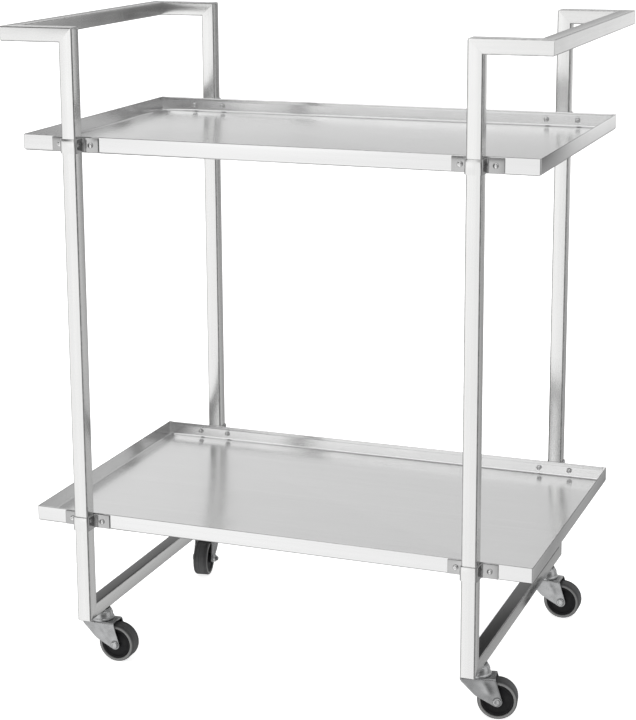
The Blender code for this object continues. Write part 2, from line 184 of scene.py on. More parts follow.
# The floor and the one lamp.
FLOOR_REACH = 60.0
SOFTBOX_PLACE = (-0.6, -0.8, 3.4)
SOFTBOX_TARGET = (0, 0, 0.3)
SOFTBOX_SIZE = (3.0, 2.4)
SOFTBOX_POWER = 60

SIDES = {"left": -1, "right": 1}
FACES = {"front": -1, "back": 1}
CASTERS = [f"{face}_{side}" for face in FACES for side in SIDES]
AXES = {"x": Vector((1, 0, 0)), "y": Vector((0, 1, 0)), "z": Vector((0, 0, 1))}


# Places, read from the CAD model


def middle(node):
    low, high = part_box(node)
    return (low + high) / 2


def extent(node):
    low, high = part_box(node)
    return high - low


def joint(name):
    return next(found for found in frame["joints"] if found["name"] == name)


TUBE = extent("left_front_post").x


# Mesh building


def arc(centre, radius, start, end, steps=ARC_STEPS):
    """Points on a circle in a plane, from one angle in degrees to another."""
    angles = [math.radians(start + (end - start) * i / steps) for i in range(steps + 1)]
    return [(centre[0] + radius * math.cos(a), centre[1] + radius * math.sin(a)) for a in angles]


def bridge(bm, rings, closed=False):
    """Joins rings of equally many vertices with quads. A closed stack joins its last ring to its first."""
    pairs = list(zip(rings, rings[1:]))
    if closed:
        pairs.append((rings[-1], rings[0]))
    for low, high in pairs:
        for i in range(len(low)):
            j = (i + 1) % len(low)
            bm.faces.new((low[i], low[j], high[j], high[i]))


def stack(bm, rings):
    """A closed body from a stack of rings of points, with a face over each end."""
    made = [[bm.verts.new(point) for point in ring] for ring in rings]
    bridge(bm, made)
    bm.faces.new(made[0])
    bm.faces.new(made[-1])


def prism(bm, outline, place_low, place_high):
    """A closed body between two placings of one flat outline."""
    stack(bm, [[place_low(a, b) for a, b in outline], [place_high(a, b) for a, b in outline]])


def rounded_rectangle(half_a, half_b, radius, steps=ARC_STEPS):
    """The outline of a rectangle about the origin, with an arc at each corner."""
    outline = []
    for corner, (sa, sb) in enumerate([(1, 1), (-1, 1), (-1, -1), (1, -1)]):
        centre = (sa * (half_a - radius), sb * (half_b - radius))
        outline += arc(centre, radius, 90 * corner, 90 * corner + 90, steps)
    return outline


def turned_rings(profile, segments):
    """Rings about the local Y axis, from (radius, height) or, for a hexagon, (radius, height, 6)."""
    rings = []
    for radius, height, *sides in profile:
        ring = []
        for i in range(segments):
            angle = 2 * math.pi * i / segments
            reach = radius
            if sides:
                step = math.pi / sides[0]
                reach = radius * math.cos(step) / math.cos(angle % (2 * step) - step)
            ring.append((reach * math.cos(angle), height, -reach * math.sin(angle)))
        rings.append(ring)
    return rings


def turned(profile, segments, bored=False):
    """A bmesh turned about the local Y axis. A bored profile closes on itself round the bore."""
    bm = bmesh.new()
    rings = turned_rings(profile, segments)
    if bored:
        bridge(bm, [[bm.verts.new(point) for point in ring] for ring in rings], closed=True)
    else:
        stack(bm, rings)
    return bm


def add_mesh(name, bm):
    bmesh.ops.recalc_face_normals(bm, faces=bm.faces)
    mesh = bpy.data.meshes.new(name)
    bm.to_mesh(mesh)
    bm.free()
    thing = bpy.data.objects.new(name, mesh)
    bpy.context.scene.collection.objects.link(thing)
    return thing


def bevel_edges(thing, width, segments=2, angle=35):
    bevel = thing.modifiers.new("eased_edges", "BEVEL")
    bevel.width = width
    bevel.segments = segments
    bevel.limit_method = "ANGLE"
    bevel.angle_limit = math.radians(angle)


def bake_modifiers(thing):
    """Turns what the modifiers make into the object's own mesh."""
    bpy.context.view_layer.update()
    evaluated = thing.evaluated_get(bpy.context.evaluated_depsgraph_get())
    mesh = bpy.data.meshes.new_from_object(evaluated)
    thing.modifiers.clear()
    thing.data = mesh


def cut_away(thing, cutter):
    """Subtracts the cutter, which is then removed."""
    boolean = thing.modifiers.new("cut", "BOOLEAN")
    boolean.operation = "DIFFERENCE"
    boolean.object = cutter
    bake_modifiers(thing)
    bpy.data.objects.remove(cutter, do_unlink=True)


def finish_piece(thing, body, material, nodes=(), place=None, smooth=38):
    """Gives a new piece its shading, material, place and body, and hides the CAD nodes that it stands for."""
    thing.data.shade_smooth()
    thing.data.set_sharp_from_angle(angle=math.radians(smooth))
    thing.data.materials.clear()
    thing.data.materials.append(material)
    if place is not None:
        thing.matrix_world = place
    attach(thing, body)
    if nodes:
        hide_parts(*nodes)
    return thing


def second_material(thing, material, chosen):
    """Gives the chosen faces another material."""
    thing.data.materials.append(material)
    for polygon in thing.data.polygons:
        polygon.material_index = int(chosen(polygon))


def write_edge_crown(thing, measure):
    """Stores how far each vertex is out on a rounded edge, from 0 on the flats to 1 on its crown. The brushed
    steel paints shade from it.
    """
    values = [max(0.0, min(1.0, measure(vertex.co))) for vertex in thing.data.vertices]
    attribute = thing.data.attributes.new("edge_crown", "FLOAT", "POINT")
    attribute.data.foreach_set("value", values)


# Materials


class Tree:
    """A node tree, with short calls to add nodes and to join them."""

    def __init__(self, tree):
        self.tree = tree
        tree.nodes.clear()

    def add(self, kind, inputs=None, **settings):
        node = self.tree.nodes.new("ShaderNode" + kind)
        for key, value in settings.items():
            setattr(node, key, value)
        for key, value in (inputs or {}).items():
            if isinstance(value, bpy.types.NodeSocket):
                self.tree.links.new(value, node.inputs[key])
            else:
                node.inputs[key].default_value = value
        return node

    def math(self, operation, first, second=0.0):
        return self.add("Math", {0: first, 1: second}, operation=operation).outputs[0]

    def remap(self, value, old_low, old_high, new_low, new_high, smooth=False):
        kind = "SMOOTHSTEP" if smooth else "LINEAR"
        inputs = {0: value, 1: old_low, 2: old_high, 3: new_low, 4: new_high}
        return self.add("MapRange", inputs, interpolation_type=kind, clamp=True).outputs[0]

    def noise(self, place, scale, detail=2.0, roughness=0.55):
        """Noise, from about 0.3 to 0.7, with so many cells a metre, or so many along each of X, Y and Z."""
        cells = scale if isinstance(scale, tuple) else (scale, scale, scale)
        scaled = self.add("VectorMath", {0: place, 1: cells}, operation="MULTIPLY").outputs[0]
        inputs = {"Vector": scaled, "Scale": 1.0, "Detail": detail, "Roughness": roughness}
        return self.add("TexNoise", inputs).outputs["Fac"]

    def mix(self, share, first, second):
        inputs = {0: share, 6: (*first, 1) if isinstance(first, tuple) else first}
        inputs[7] = (*second, 1) if isinstance(second, tuple) else second
        return self.add("Mix", inputs, data_type="RGBA").outputs[2]

    def bump(self, height, strength, distance, normal=None):
        inputs = {"Height": height, "Strength": strength, "Distance": distance}
        if normal is not None:
            inputs["Normal"] = normal
        return self.add("Bump", inputs).outputs[0]


def new_material(name):
    made = bpy.data.materials.new(name)
    made.use_nodes = True
    return made, Tree(made.node_tree)


def close_material(tree, sockets):
    shader = tree.add("BsdfPrincipled", sockets)
    tree.add("OutputMaterial", {"Surface": shader.outputs[0]})


def grain_scale(axis, across, along):
    """Cells a metre for grain that runs along one axis."""
    return tuple(along if name == axis else across for name in "xyz")


def brushed_steel(name, axis, colour, roughness, grain=0.05, anisotropy=0.6, edge_shade=0.7):
    """Brushed stainless steel with its grain along an axis, streaks and handling haze. The crowns of rounded
    edges are darker as painted shade, broken up unevenly, and smoother where rubbed.
    """
    made, tree = new_material(name)
    place = tree.add("TexCoord").outputs["Object"]
    fine = tree.noise(place, grain_scale(axis, *FINE_GRAIN), detail=3)
    streak = tree.noise(place, grain_scale(axis, *STREAKS), detail=2)
    haze = tree.noise(place, HAZE, detail=3)
    edge_crown_share = tree.add("Attribute", attribute_name="edge_crown", attribute_type="GEOMETRY").outputs["Fac"]
    edge_breakup = tree.remap(tree.noise(place, EDGE_BREAKUP_CELLS, detail=4), 0.42, 0.60, 0.6, 1.0)
    painted_shade_and_rubbing = tree.math("MULTIPLY", edge_crown_share, edge_breakup)

    dark = tuple(0.98 * part for part in colour)
    light = tuple(min(1.0, 1.01 * part) for part in colour)
    body = tree.mix(tree.remap(streak, 0.32, 0.68, 0.0, 1.0), dark, light)
    # Painted shade: darker along the crowns of rounded edges, broken up unevenly.
    body = tree.mix(tree.math("MULTIPLY", painted_shade_and_rubbing, edge_shade), body, (0.16, 0.16, 0.16))
    fine_rough = tree.remap(fine, 0.3, 0.7, -0.02, 0.03)
    haze_rough = tree.remap(haze, 0.35, 0.65, -0.015, 0.02)
    rough = tree.math("ADD", fine_rough, haze_rough)
    rough = tree.math("ADD", rough, tree.remap(painted_shade_and_rubbing, 0.0, 1.0, roughness, roughness - 0.06))
    relief = tree.bump(fine, grain, 0.00005)
    relief = tree.bump(haze, 0.05, 0.0005, relief)
    tangent = tree.add("CombineXYZ", {"XYZ".index(axis.upper()): 1.0}).outputs[0]
    close_material(
        tree,
        {
            "Base Color": body,
            "Metallic": 1.0,
            "Roughness": rough,
            "Anisotropic": anisotropy,
            "Anisotropic Rotation": GLOSS_TURN,
            "Normal": relief,
            "Tangent": tangent,
        },
    )
    return made


def plated_steel(name, colour, roughness, mottle):
    """Bright zinc or nickel plate: fine mottling, soft stains and a slightly uneven surface."""
    made, tree = new_material(name)
    place = tree.add("TexCoord").outputs["Object"]
    spots = tree.noise(place, PLATE_SPOTS, detail=4)
    stain = tree.noise(place, PLATE_STAINS, detail=3)
    edge_crown_share = tree.add("Attribute", attribute_name="edge_crown", attribute_type="GEOMETRY").outputs["Fac"]
    dark = tuple((1 - mottle) * part for part in colour)
    body = tree.mix(tree.remap(stain, 0.35, 0.65, 0.0, 1.0), dark, colour)
    # Lighter towards the crown of a rounded edge.
    body = tree.mix(tree.math("MULTIPLY", edge_crown_share, 0.7), body, (0.86, 0.86, 0.86))
    base = tree.remap(stain, 0.3, 0.7, roughness, roughness + 0.06)
    rough = tree.math("ADD", tree.remap(spots, 0.3, 0.7, -0.05, 0.07), base)
    relief = tree.bump(spots, 0.25, 0.00006)
    relief = tree.bump(stain, 0.3, 0.0003, relief)
    close_material(tree, {"Base Color": body, "Metallic": 1.0, "Roughness": rough, "Normal": relief})
    return made


def moulded_plastic(name):
    """Near-black moulded hub plastic: fine texture and a little dust in patches."""
    made, tree = new_material(name)
    place = tree.add("TexCoord").outputs["Object"]
    grit = tree.noise(place, PLASTIC_GRIT, detail=3)
    dust = tree.noise(place, PLASTIC_DUST, detail=4)
    body = tree.mix(tree.remap(dust, 0.45, 0.75, 0.0, 1.0), (0.010, 0.010, 0.011), (0.020, 0.020, 0.020))
    rough = tree.math("ADD", tree.remap(grit, 0.3, 0.7, -0.06, 0.06), tree.remap(dust, 0.3, 0.7, 0.42, 0.56))
    relief = tree.bump(grit, 0.3, 0.0001)
    sockets = {"Base Color": body, "Metallic": 0.0, "Roughness": rough}
    sockets.update({"Specular IOR Level": 0.15, "Normal": relief})
    close_material(tree, sockets)
    return made


def tyre_rubber(name, radius, half_width):
    """Grey rubber with rolling lines round the tread, a lighter ring on each side and some scuffing."""
    made, tree = new_material(name)
    place = tree.add("TexCoord").outputs["Object"]
    y = tree.add("SeparateXYZ", {0: place}).outputs[1]
    spread = tree.add("VectorMath", {0: place, 1: (1, 0, 1)}, operation="MULTIPLY").outputs[0]
    reach = tree.add("VectorMath", {0: spread}, operation="LENGTH").outputs["Value"]
    out = tree.math("MULTIPLY", reach, ROLLING_LINES)
    along = tree.math("MULTIPLY", y, ROLLING_LINES)
    rings = tree.add("CombineXYZ", {0: out, 1: along}).outputs[0]
    lines = tree.add("TexNoise", {"Vector": rings, "Scale": 1.0, "Detail": 2.0}).outputs["Fac"]
    scuff = tree.noise(place, RUBBER_SCUFFS, detail=5)
    aside = tree.math("ABSOLUTE", y)
    side = tree.remap(aside, half_width - RING_SIDE[0], half_width - RING_SIDE[1], 0.0, 1.0, smooth=True)
    inner = tree.remap(reach, radius - RING_TREAD[0], radius - RING_TREAD[1], 0.0, 1.0, smooth=True)
    pale = tree.math("MULTIPLY", side, inner)
    tread = tree.mix(tree.remap(lines, 0.35, 0.65, 0.0, 1.0), (0.034, 0.034, 0.035), (0.070, 0.071, 0.072))
    body = tree.mix(pale, tread, (0.20, 0.20, 0.198))
    body = tree.mix(tree.remap(scuff, 0.5, 0.8, 0.0, 0.4), body, (0.13, 0.128, 0.124))
    line_rough = tree.remap(lines, 0.3, 0.7, -0.05, 0.05)
    rough = tree.math("ADD", line_rough, tree.remap(scuff, 0.3, 0.7, 0.46, 0.62))
    relief = tree.bump(lines, 0.5, 0.0002)
    relief = tree.bump(scuff, 0.3, 0.0002, relief)
    close_material(tree, {"Base Color": body, "Metallic": 0.0, "Roughness": rough, "Normal": relief})
    return made


# End frames


def frame_corners(side_name, side):
    """The six corners of an end frame's centre line, in order round its loop."""
    low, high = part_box(f"{side_name}_front_post")
    half = TUBE / 2
    x = (low.x + high.x) / 2
    bar_x = middle(f"{side_name}_handle_bar").x
    front = (low.y + high.y) / 2
    back = middle(f"{side_name}_back_post").y
    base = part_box(f"{side_name}_bottom_rail")[0].z + half
    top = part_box(f"{side_name}_handle_bar")[1].z - half
    return [
        Vector((x, front, base)),
        Vector((x, back, base)),
        Vector((x, back, top)),
        Vector((bar_x, back, top)),
        Vector((bar_x, front, top)),
        Vector((x, front, top)),
    ]


def section_points(start, along, towards, grow=0.0):
    """The tube's outline in the plane that mitres it to the next tube."""
    across = AXES["x"] if abs(along.y) > 0.5 else AXES["y"]
    other = along.cross(across)
    points = []
    for a, b in rounded_rectangle(TUBE / 2 + grow, TUBE / 2 + grow, TUBE_EDGE):
        spoke = across * a + other * b
        points.append(start + spoke + along * spoke.dot(towards))
    return points


def tube_edge_crown(start, along):
    """How far a point is out on one of the tube's four rounded edges."""
    flat = TUBE / 2 - TUBE_EDGE
    crown = TUBE_EDGE * math.cos(math.radians(45))

    def measure(point):
        offset = point - start
        offset = offset - along * offset.dot(along)
        parts = sorted(abs(part) for part in offset)
        return (parts[1] - flat) / crown

    return measure


def corner_cutter(side, centre):
    """What grinding takes off the sharp outer corner where a post turns into its handle arm."""
    edge_x = centre.x - side * TUBE / 2
    top = centre.z + TUBE / 2
    round_centre = (edge_x + side * CORNER_GRIND, top - CORNER_GRIND)
    start = 180 if side > 0 else 0
    out_x = edge_x - side * CUTTER_REACH
    out_z = top + CUTTER_REACH
    outline = arc(round_centre, CORNER_GRIND, start, 90, 8)
    outline += [(round_centre[0], out_z), (out_x, out_z), (out_x, round_centre[1])]
    bm = bmesh.new()
    prism(bm, outline, lambda x, z: (x, centre.y - TUBE, z), lambda x, z: (x, centre.y + TUBE, z))
    return add_mesh("corner_cutter", bm)


def add_tube(name, side, ends, before, after, ground_corner):
    """One mitred tube with eased edges. A ground corner is the post-to-arm corner at one of its ends."""
    start, end = ends
    along = (end - start).normalized()
    bm = bmesh.new()
    stack(bm, [section_points(start, along, before), section_points(end, along, -after)])
    tube = add_mesh(name, bm)
    if ground_corner is not None:
        cut_away(tube, corner_cutter(side, ground_corner))
    # Painted shade: the tube steel darkens the crowns of the tube's rounded edges.
    write_edge_crown(tube, tube_edge_crown(start, along))
    return tube


def add_seam(name, side, start, along, before, ground):
    """The dressed weld in the mitre where a tube starts."""
    normal = (before - along).normalized()
    plane = section_points(start, along, before, SEAM_PROUD)
    bm = bmesh.new()
    stack(bm, [[point + normal * shift for point in plane] for shift in (-SEAM_HALF_WIDTH, SEAM_HALF_WIDTH)])
    seam = add_mesh(name, bm)
    if ground:
        cut_away(seam, corner_cutter(side, start))
    return seam


def add_end_frame(side_name, side, steel):
    """Six tubes and the welds between them. The tops of the bottom rails get a dark, rougher steel: painted
    shade where the trays above shadow them.
    """
    names = ["bottom_rail", "back_post", "handle_back_arm", "handle_bar", "handle_front_arm", "front_post"]
    axes = ["y", "z", "x", "y", "x", "z"]
    corners = frame_corners(side_name, side)
    ground_ends = {"back_post": corners[2], "handle_back_arm": corners[2]}
    ground_ends.update({"handle_front_arm": corners[5], "front_post": corners[5]})
    for i, name in enumerate(names):
        start = corners[i]
        end = corners[(i + 1) % 6]
        along = (end - start).normalized()
        before = (corners[i - 1] - start).normalized()
        after = (corners[(i + 2) % 6] - end).normalized()
        ground_corner = ground_ends.get(name)
        tube = add_tube(f"{side_name}_{name}_tube", side, (start, end), before, after, ground_corner)
        finish_piece(tube, "root", steel[f"tube_{axes[i]}"], [f"{side_name}_{name}"])
        # Painted shade: the top faces of the bottom rails get a dark steel.
        if name == "bottom_rail":
            second_material(tube, steel["rail_top"], lambda polygon: polygon.normal.z > 0.9)
        ground = start in (corners[2], corners[5])
        seam = add_seam(f"{side_name}_{names[i - 1]}_weld", side, start, along, before, ground)
        finish_piece(seam, "root", steel["weld"])


# Trays


def tray_profile(base, top):
    """The sheet's section as (inset, height), from the outside of the bend over the rim to the inside."""
    curl = SHEET / 2
    bend_centre = (TRAY_BEND, base + TRAY_BEND)
    profile = arc(bend_centre, TRAY_BEND, 270, 180)
    profile += [(0.0, top - curl - SHEET_EASE)]
    profile += arc((curl, top - curl), curl, 180, 0)
    profile += [(SHEET, top - curl - SHEET_EASE)]
    profile += arc(bend_centre, TRAY_BEND - SHEET, 180, 270)
    return profile


def add_hem(tier, face_name, face, steel):
    """The edge folded inwards along one of the tray's long rims."""
    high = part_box(f"{tier}_tray")[1]
    turn = HEM_SHEET / 2
    outer = high.y - SHEET / 2
    inner = high.y - SHEET - HEM_SHEET + turn
    bottom = high.z - HEM_HEIGHT
    outline = [(outer, bottom), (outer, high.z)]
    outline += arc((inner, high.z - turn), turn, 90, 180, 4)
    outline += arc((inner, bottom + turn), turn, 180, 270, 4)
    half = high.x - SHEET - HEM_SETBACK
    bm = bmesh.new()
    prism(bm, [(face * y, z) for y, z in outline], lambda y, z: (-half, y, z), lambda y, z: (half, y, z))
    finish_piece(add_mesh(f"{tier}_{face_name}_hem", bm), "root", steel)


def add_tray(tier, rim_steel, deck_steel):
    """A folded sheet with rounded bends, and the hems along its two long rims."""
    low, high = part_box(f"{tier}_tray")
    top = high.z
    rings = []
    for inset, height in tray_profile(low.z, top):
        corner = max(TRAY_CORNER - inset, TRAY_CORNER_LEAST)
        outline = rounded_rectangle(high.x - inset, high.y - inset, corner)
        rings.append([(x, y, height) for x, y in outline])
    bm = bmesh.new()
    stack(bm, rings)
    tray = add_mesh(f"{tier}_tray_sheet", bm)
    # Painted shade: the rim steel darkens the crown of the rim's rounded top edge.
    write_edge_crown(tray, lambda point: 1 - (top - point.z) / (SHEET / 2 + SHEET_EASE))
    finish_piece(tray, "root", rim_steel, [f"{tier}_tray"], smooth=30)
    deck_top = low.z + TRAY_BEND
    second_material(tray, deck_steel, lambda face: abs(face.normal.z) > 0.9 and face.center.z < deck_top)
    for face_name, face in FACES.items():
        add_hem(tier, face_name, face, rim_steel)


# Clips and screws


def add_clip(name, face, shaded_flange_steel, web_steel):
    """A strap folded round the post, its flanges flat on the tray's rim."""
    low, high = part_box(name)
    centre_x = (low.x + high.x) / 2
    half_length = (high.x - low.x) / 2
    seat = low.y if face > 0 else high.y
    web = high.y - low.y - CLIP_SHEET
    cheek = TUBE / 2 + GAP
    half = [(cheek, web), (cheek, 0.0), (half_length, 0.0), (half_length, CLIP_SHEET)]
    half += arc((cheek + CLIP_SHEET + CLIP_BEND, CLIP_SHEET + CLIP_BEND), CLIP_BEND, 270, 180)
    half += arc((cheek - CLIP_BEND, web - CLIP_BEND), CLIP_BEND + CLIP_SHEET, 0, 90)
    outline = half + [(-across, out) for across, out in reversed(half)]

    def at_level(z):
        return lambda across, out: (centre_x + across, seat + face * out, z)

    def on_web(polygon):
        near_post = abs(polygon.center.x - centre_x) < cheek
        outside = face * (polygon.center.y - seat) > CLIP_SHEET + CLIP_BEND
        return near_post and outside and abs(polygon.normal.y) > 0.3

    bm = bmesh.new()
    prism(bm, outline, at_level(low.z), at_level(high.z))
    clip = add_mesh(f"{name}_strap", bm)
    bevel_edges(clip, SHEET_EASE)
    bake_modifiers(clip)
    # Painted shade: the flanges get a darker copy of the steel than the web of the same strap.
    finish_piece(clip, "root", shaded_flange_steel, [name])
    second_material(clip, web_steel, on_web)


def screw_profile(length, head):
    """Radii and heights from the cap nut's dome, along the shank, to the top of the pan head."""
    dome = NUT_HEIGHT - NUT_FLANGE
    profile = []
    for angle in range(12, 91, 13):
        turn = math.radians(angle)
        profile.append((0.86 * NUT_RADIUS * math.sin(turn), dome * (1 - math.cos(turn))))
    profile += [(0.98 * NUT_RADIUS, dome + 0.0002, 6), (1.04 * NUT_RADIUS, dome + 0.0006, 6)]
    profile += [(1.04 * NUT_RADIUS, NUT_HEIGHT, 6), (SCREW_SHANK, NUT_HEIGHT)]
    profile += [(SCREW_SHANK, length - SCREW_HEAD_HEIGHT), (0.97 * head, length - SCREW_HEAD_HEIGHT)]
    profile += [(head, length - 0.85 * SCREW_HEAD_HEIGHT)]
    for angle in range(12, 80, 11):
        turn = math.radians(angle)
        profile.append((head * math.cos(turn), length - 0.7 * SCREW_HEAD_HEIGHT * (1 - math.sin(turn))))
    return profile


def screw_mesh(node):
    """A pan-head screw with a cross recess, and a cap nut on its far end. The head is at +Y."""
    length = extent(node).y
    head = extent(node).x / 2
    thing = add_mesh("screw_pattern", turned(screw_profile(length, head), SCREW_SEGMENTS))
    reach = RECESS_REACH * head
    floor_y = length - RECESS_DEPTH * SCREW_HEAD_HEIGHT
    for x, z in ((reach, RECESS_HALF_WIDTH), (RECESS_HALF_WIDTH, reach)):
        mouth = [(x, z), (-x, z), (-x, -z), (x, -z)]
        cutter = bmesh.new()
        floor = [(RECESS_FLOOR * a, floor_y, RECESS_FLOOR * b) for a, b in mouth]
        stack(cutter, [floor, [(a, length + GAP, b) for a, b in mouth]])
        cut_away(thing, add_mesh("recess_cutter", cutter))
    return thing


def add_screws(steel):
    """Copies of one screw, each turned differently."""
    pattern = screw_mesh("upper_left_front_outer_screw")
    screws = [node for node in sorted(frame["nodes"]) if node.endswith("_screw")]
    for i, node in enumerate(screws):
        low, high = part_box(node)
        at_back = "_back_" in node
        centre = Vector(((low.x + high.x) / 2, low.y if at_back else high.y, (low.z + high.z) / 2))
        spin = Matrix.Rotation(math.radians(SCREW_TURN * (i + 1)), 4, "Y")
        facing = Matrix.Rotation(0 if at_back else math.pi, 4, "Z")
        place = Matrix.Translation(centre) @ facing @ spin
        thing = bpy.data.objects.new(f"{node}_and_nut", pattern.data.copy())
        bpy.context.scene.collection.objects.link(thing)
        finish_piece(thing, "root", steel, [node], place, smooth=45)
    bpy.data.objects.remove(pattern, do_unlink=True)


# Casters


def caster_frame(place_name):
    """The caster's own frame: the swivel axis above the floor, X along the trail and Y along the axle."""
    pivot = joint(f"{place_name}_swivel")["pos_m"]
    axle = joint(f"{place_name}_roll")["axis"]
    turn = math.atan2(-axle[0], axle[1])
    return Matrix.Translation((pivot[0], pivot[1], 0.0)) @ Matrix.Rotation(turn, 4, "Z")


def wheel_frame(place_name):
    """The wheel's own frame: its origin at the middle of the wheel and Y along the axle."""
    centre = joint(f"{place_name}_roll")["pos_m"]
    return Matrix.Translation(centre) @ caster_frame(place_name).to_3x3().to_4x4()


def caster_sizes():
    """Sizes of a caster that stands square to the trolley, which its boxes give directly."""
    fork = extent("front_left_caster_fork")
    tyre = extent("front_left_wheel_tyre")
    hub = extent("front_left_wheel_hub")
    pivot = Vector(joint("front_left_swivel")["pos_m"])
    centre = Vector(joint("front_left_roll")["pos_m"])
    low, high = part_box("front_left_caster_fork")
    return {
        "leg_outer": fork.y / 2,
        "crown_top": high.z,
        "crown_back": low.x - pivot.x,
        "trail": centre.x - pivot.x,
        "axle_z": centre.z,
        "end_radius": high.x - centre.x,
        "radius": tyre.z / 2,
        "half_width": tyre.y / 2,
        "hub_radius": hub.z / 2,
        "boss": hub.y / 2,
    }


def at_height(points, z):
    """Where a rising line of (x, z) points is at one height."""
    for (x_low, z_low), (x_high, z_high) in zip(points, points[1:]):
        if z_low <= z <= z_high:
            return x_low + (x_high - x_low) * (z - z_low) / max(z_high - z_low, 1e-9)
    return points[0][0] if z < points[0][1] else points[-1][0]


def fork_edges(sizes):
    """The two edges of a leg, each as rising (x, z) points."""
    crown = sizes["crown_top"] - FORK_SHEET / 2
    trail = sizes["trail"]
    back = sizes["crown_back"]
    radius = sizes["radius"]
    axle = (trail, sizes["axle_z"])
    elbow = (trail - FORK_ELBOW_BACK * radius, sizes["axle_z"] + FORK_ELBOW_RISE * radius)
    left = arc(axle, sizes["end_radius"], -100, -124, 3)
    left += [elbow, (back, sizes["crown_top"] - 2 * FORK_SHEET), (back, crown)]
    right = arc(axle, sizes["end_radius"], -80, 12, 8) + [(-back, crown)]
    return left, right


def fork_path(sizes):
    """The middle of the sheet as (y, z) points, up one leg, across the crown and down the other."""
    crown = sizes["crown_top"] - FORK_SHEET / 2
    leg = sizes["leg_outer"] - FORK_SHEET / 2
    axle_z = sizes["axle_z"]
    levels = [z for _, z in arc((0, axle_z), sizes["end_radius"], -80, 0, 6)]
    rise = crown - FORK_BEND - levels[-1]
    levels += [levels[-1] + rise * i / FORK_LEG_ROWS for i in range(1, FORK_LEG_ROWS + 1)]
    path = [(-leg, z) for z in levels]
    path += arc((-leg + FORK_BEND, crown - FORK_BEND), FORK_BEND, 180, 90, 5)[1:]
    path += [(y, crown) for y in (-leg / 3, leg / 3)]
    path += [(-y, z) for y, z in reversed(path[:-2])]
    return path


def crease_height(sizes, share, z):
    """How far the crease stands out of a leg, at a share of the leg's width and a height."""
    crown = sizes["crown_top"] - FORK_SHEET / 2
    above = (z - sizes["axle_z"] - sizes["end_radius"]) / CREASE_FADE_LOW
    below = (crown - CREASE_TOP_MARGIN - z) / CREASE_FADE_HIGH
    fade = max(0.0, min(1.0, above)) * max(0.0, min(1.0, below))
    return CREASE_HEIGHT * math.exp(-(((share - CREASE_PLACE) / CREASE_SPREAD) ** 2)) * fade


def fork_sheet_mesh(sizes):
    """The middle surface of the pressed sheet, creased down each leg."""
    left_edge, right_edge = fork_edges(sizes)
    bm = bmesh.new()
    rows = []
    for y, z in fork_path(sizes):
        x_left = at_height(left_edge, z)
        x_right = at_height(right_edge, z)
        row = []
        for i in range(FORK_COLUMNS + 1):
            share = i / FORK_COLUMNS
            out = y + math.copysign(crease_height(sizes, share, z), y)
            row.append(bm.verts.new((x_left + (x_right - x_left) * share, out, z)))
        rows.append(row)
    for low, high in zip(rows, rows[1:]):
        for i in range(FORK_COLUMNS):
            bm.faces.new((low[i], low[i + 1], high[i + 1], high[i]))
    return bm


def add_fork(place_name, sizes, steel):
    """A pressed fork: one bent sheet with a shallow crease down each leg and a hole for the swivel's pin."""
    fork = add_mesh(f"{place_name}_fork_sheet", fork_sheet_mesh(sizes))
    solid = fork.modifiers.new("sheet", "SOLIDIFY")
    solid.thickness = FORK_SHEET
    solid.offset = 0.0
    solid.use_even_offset = True
    bevel_edges(fork, FORK_EASE, segments=3, angle=60)
    bake_modifiers(fork)
    crown = sizes["crown_top"] - FORK_SHEET / 2
    hole = PIN_RADIUS + GAP
    cutter = turned([(hole, crown - FORK_SHEET), (hole, crown + FORK_SHEET)], PIN_HOLE_SEGMENTS)
    cutter = add_mesh("pin_hole_cutter", cutter)
    cutter.data.transform(Matrix.Rotation(math.radians(90), 4, "X"))
    cut_away(fork, cutter)
    place = caster_frame(place_name)
    finish_piece(fork, f"{place_name}_fork", steel, [f"{place_name}_caster_fork"], place)


def head_profile(node, sizes):
    """Radii and heights from the riveted end of the pin to the tip of the stem."""
    low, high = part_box(node)
    lip = (high.x - low.x) / 2
    seat = sizes["crown_top"] + GAP
    under = sizes["crown_top"] - FORK_SHEET - GAP
    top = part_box("left_bottom_rail")[0].z - GAP
    profile = [(PIN_RADIUS, low.z), (0.85 * RIVET_RADIUS, low.z + 0.0003), (RIVET_RADIUS, low.z + 0.0012)]
    profile += [(RIVET_RADIUS, under), (PIN_RADIUS, under), (PIN_RADIUS, seat)]
    profile += [(lip - 0.0012, seat), (lip - 0.0003, seat + 0.0003), (lip, seat + 0.0011)]
    profile += [(lip, seat + 0.0022), (lip - 0.0008, seat + 0.0031)]
    dome_base = seat + LIP_HEIGHT
    dome_rise = top - DOME_INSET - dome_base
    dome_reach = lip - DOME_INSET - NECK_RADIUS
    for i in range(DOME_STEPS + 1):
        angle = math.radians(90 * i / DOME_STEPS)
        profile.append((NECK_RADIUS + dome_reach * math.cos(angle), dome_base + dome_rise * math.sin(angle)))
    profile += [(NECK_RADIUS - 0.0002, top - 0.0012), (NECK_RADIUS, top - 0.0009), (NECK_RADIUS, top)]
    profile += [(STEM_RADIUS, top), (STEM_RADIUS, high.z - STEM_CHAMFER)]
    profile += [(STEM_RADIUS - STEM_CHAMFER, high.z)]
    return profile


def add_head(place_name, sizes, steel):
    """The fixed half of the swivel: riveted pin, pressed raceway cup, neck and stem."""
    node = f"{place_name}_caster_head"
    head = add_mesh(f"{place_name}_swivel_head", turned(head_profile(node, sizes), HEAD_SEGMENTS))
    centre = Vector((middle(node).x, middle(node).y, 0.0))
    upright = Matrix.Translation(centre) @ Matrix.Rotation(math.radians(90), 4, "X")
    finish_piece(head, "root", steel, [node], upright, smooth=35)


def both_sides(half_profile):
    """The profile of one half of a wheel, and its mirror image for the other half."""
    return half_profile + [(radius, -height) for radius, height in reversed(half_profile)]


